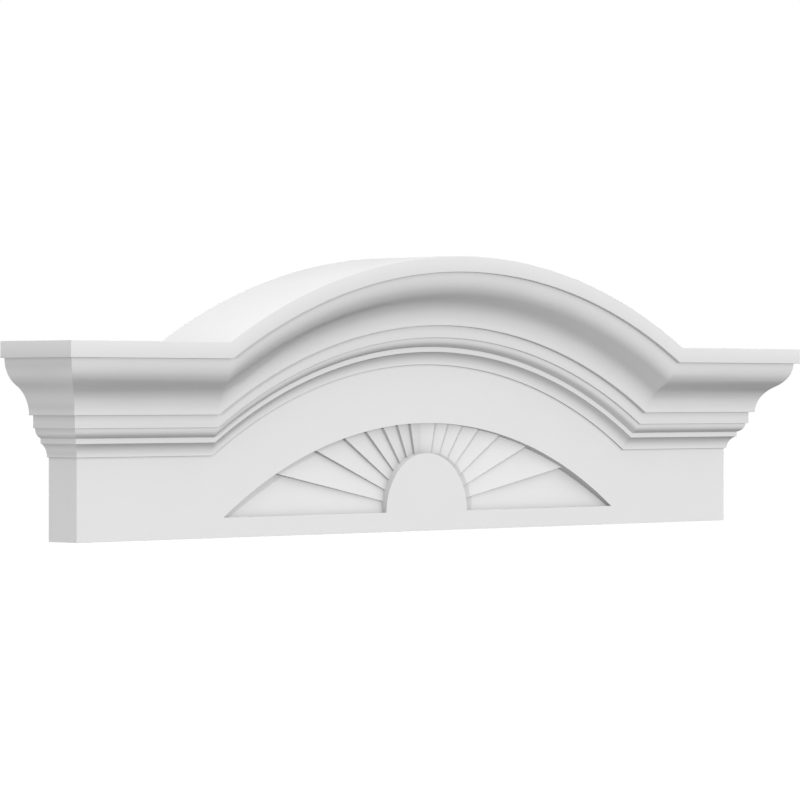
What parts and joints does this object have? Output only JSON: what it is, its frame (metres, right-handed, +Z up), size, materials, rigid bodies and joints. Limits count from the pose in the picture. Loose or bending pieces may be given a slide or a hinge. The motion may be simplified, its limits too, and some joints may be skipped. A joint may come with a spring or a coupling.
{
  "type": "sunburst pediment",
  "caption": "Door-head pediment with level ends, an arched crown moulding over a carved half-round fan, and a flat back to fix to a wall.",
  "frame": {"origin": "middle of the overall width and depth, on the plane of the underside", "axes": "+X to the right along the wall, +Y back into the wall, +Z up"},
  "size_m": [1.3716, 0.127, 0.3563],
  "materials": {
    "primed_white": "factory primed, satin white"
  },
  "bodies": {
    "root": {"pediment": "primed_white"}
  },
  "joints": []
}
